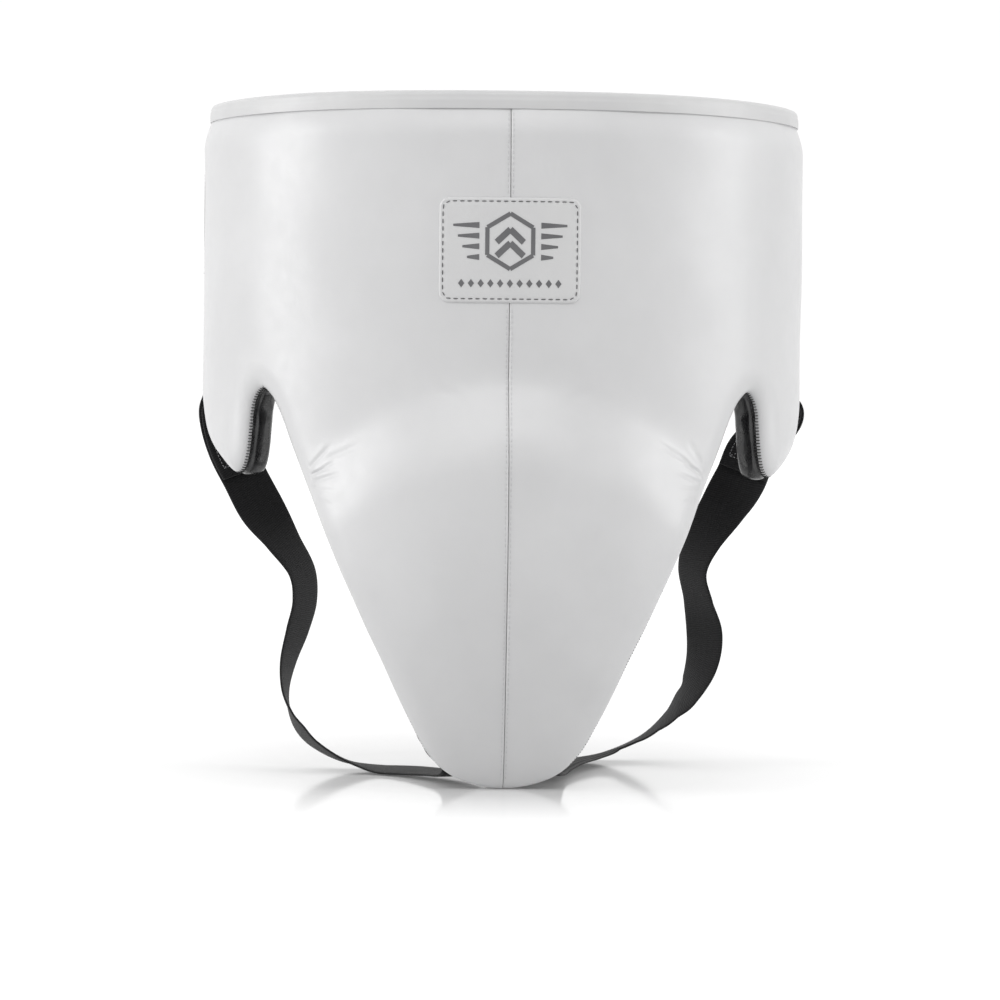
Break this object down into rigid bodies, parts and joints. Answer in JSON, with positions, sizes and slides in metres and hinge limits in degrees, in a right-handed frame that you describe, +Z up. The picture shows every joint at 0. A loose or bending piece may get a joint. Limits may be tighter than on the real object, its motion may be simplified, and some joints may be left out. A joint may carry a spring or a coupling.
{
  "type": "groin protector",
  "caption": "Padded groin guard for boxing: leather shield with a hard cup and hip wings, black edge gusset, leg straps and a hook-and-loop back closure.",
  "frame": {"origin": "on the ground under the middle of the bounding box, the guard standing on its tip and leg straps as in the picture", "axes": "+Z up, the belly faces -Y, +X is to the right of a person facing the belly"},
  "size_m": [0.3513, 0.2761, 0.3825],
  "materials": {
    "white_leather": "satin",
    "black_leather": "gloss",
    "lining": "matte",
    "foam": "matte",
    "cup_plastic": "satin",
    "cup_rubber": "matte",
    "webbing": "matte",
    "hook_loop": "matte"
  },
  "bodies": {
    "guard": {"leather_left": "white_leather", "leather_right": "white_leather", "rim_binding": "white_leather", "label_patch": "white_leather", "gusset_left": "black_leather", "gusset_right": "black_leather", "crotch_patch": "black_leather", "lining_belly": "lining", "lining_groin": "lining", "lining_wing_left": "lining", "lining_wing_right": "lining", "foam_belly": "foam", "foam_wing_left": "foam", "foam_wing_right": "foam", "foam_groin_front": "foam", "foam_groin_back": "foam", "cup_bed": "foam", "hard_cup": "cup_plastic", "cup_rim": "cup_rubber", "leg_strap_left": "webbing", "leg_strap_right": "webbing", "strap_tab_left": "webbing", "strap_tab_right": "webbing", "elastic_anchor_left": "webbing", "elastic_anchor_right": "webbing"},
    "left_band": {"waist_elastic_left": "webbing", "loop_pad": "hook_loop"},
    "right_band": {"waist_elastic_right": "webbing"},
    "closure_tab": {"hook_tab": "webbing", "hook_patch": "hook_loop", "tab_pull": "white_leather"}
  },
  "joints": [
    {"name": "left_elastic_bend", "type": "hinge", "parent": "guard", "child": "left_band", "pos_m": [-0.14568, 0.06908, 0.312], "axis": [0, 0, -1], "range_deg": [0, 40]},
    {"name": "right_elastic_bend", "type": "hinge", "parent": "guard", "child": "right_band", "pos_m": [0.14568, 0.06908, 0.312], "axis": [0, 0, -1], "range_deg": [0, 75]},
    {"name": "tab_peel", "type": "hinge", "parent": "right_band", "child": "closure_tab", "pos_m": [0.00766, 0.13694, 0.312], "axis": [0, 0, -1], "range_deg": [0, 110]}
  ]
}
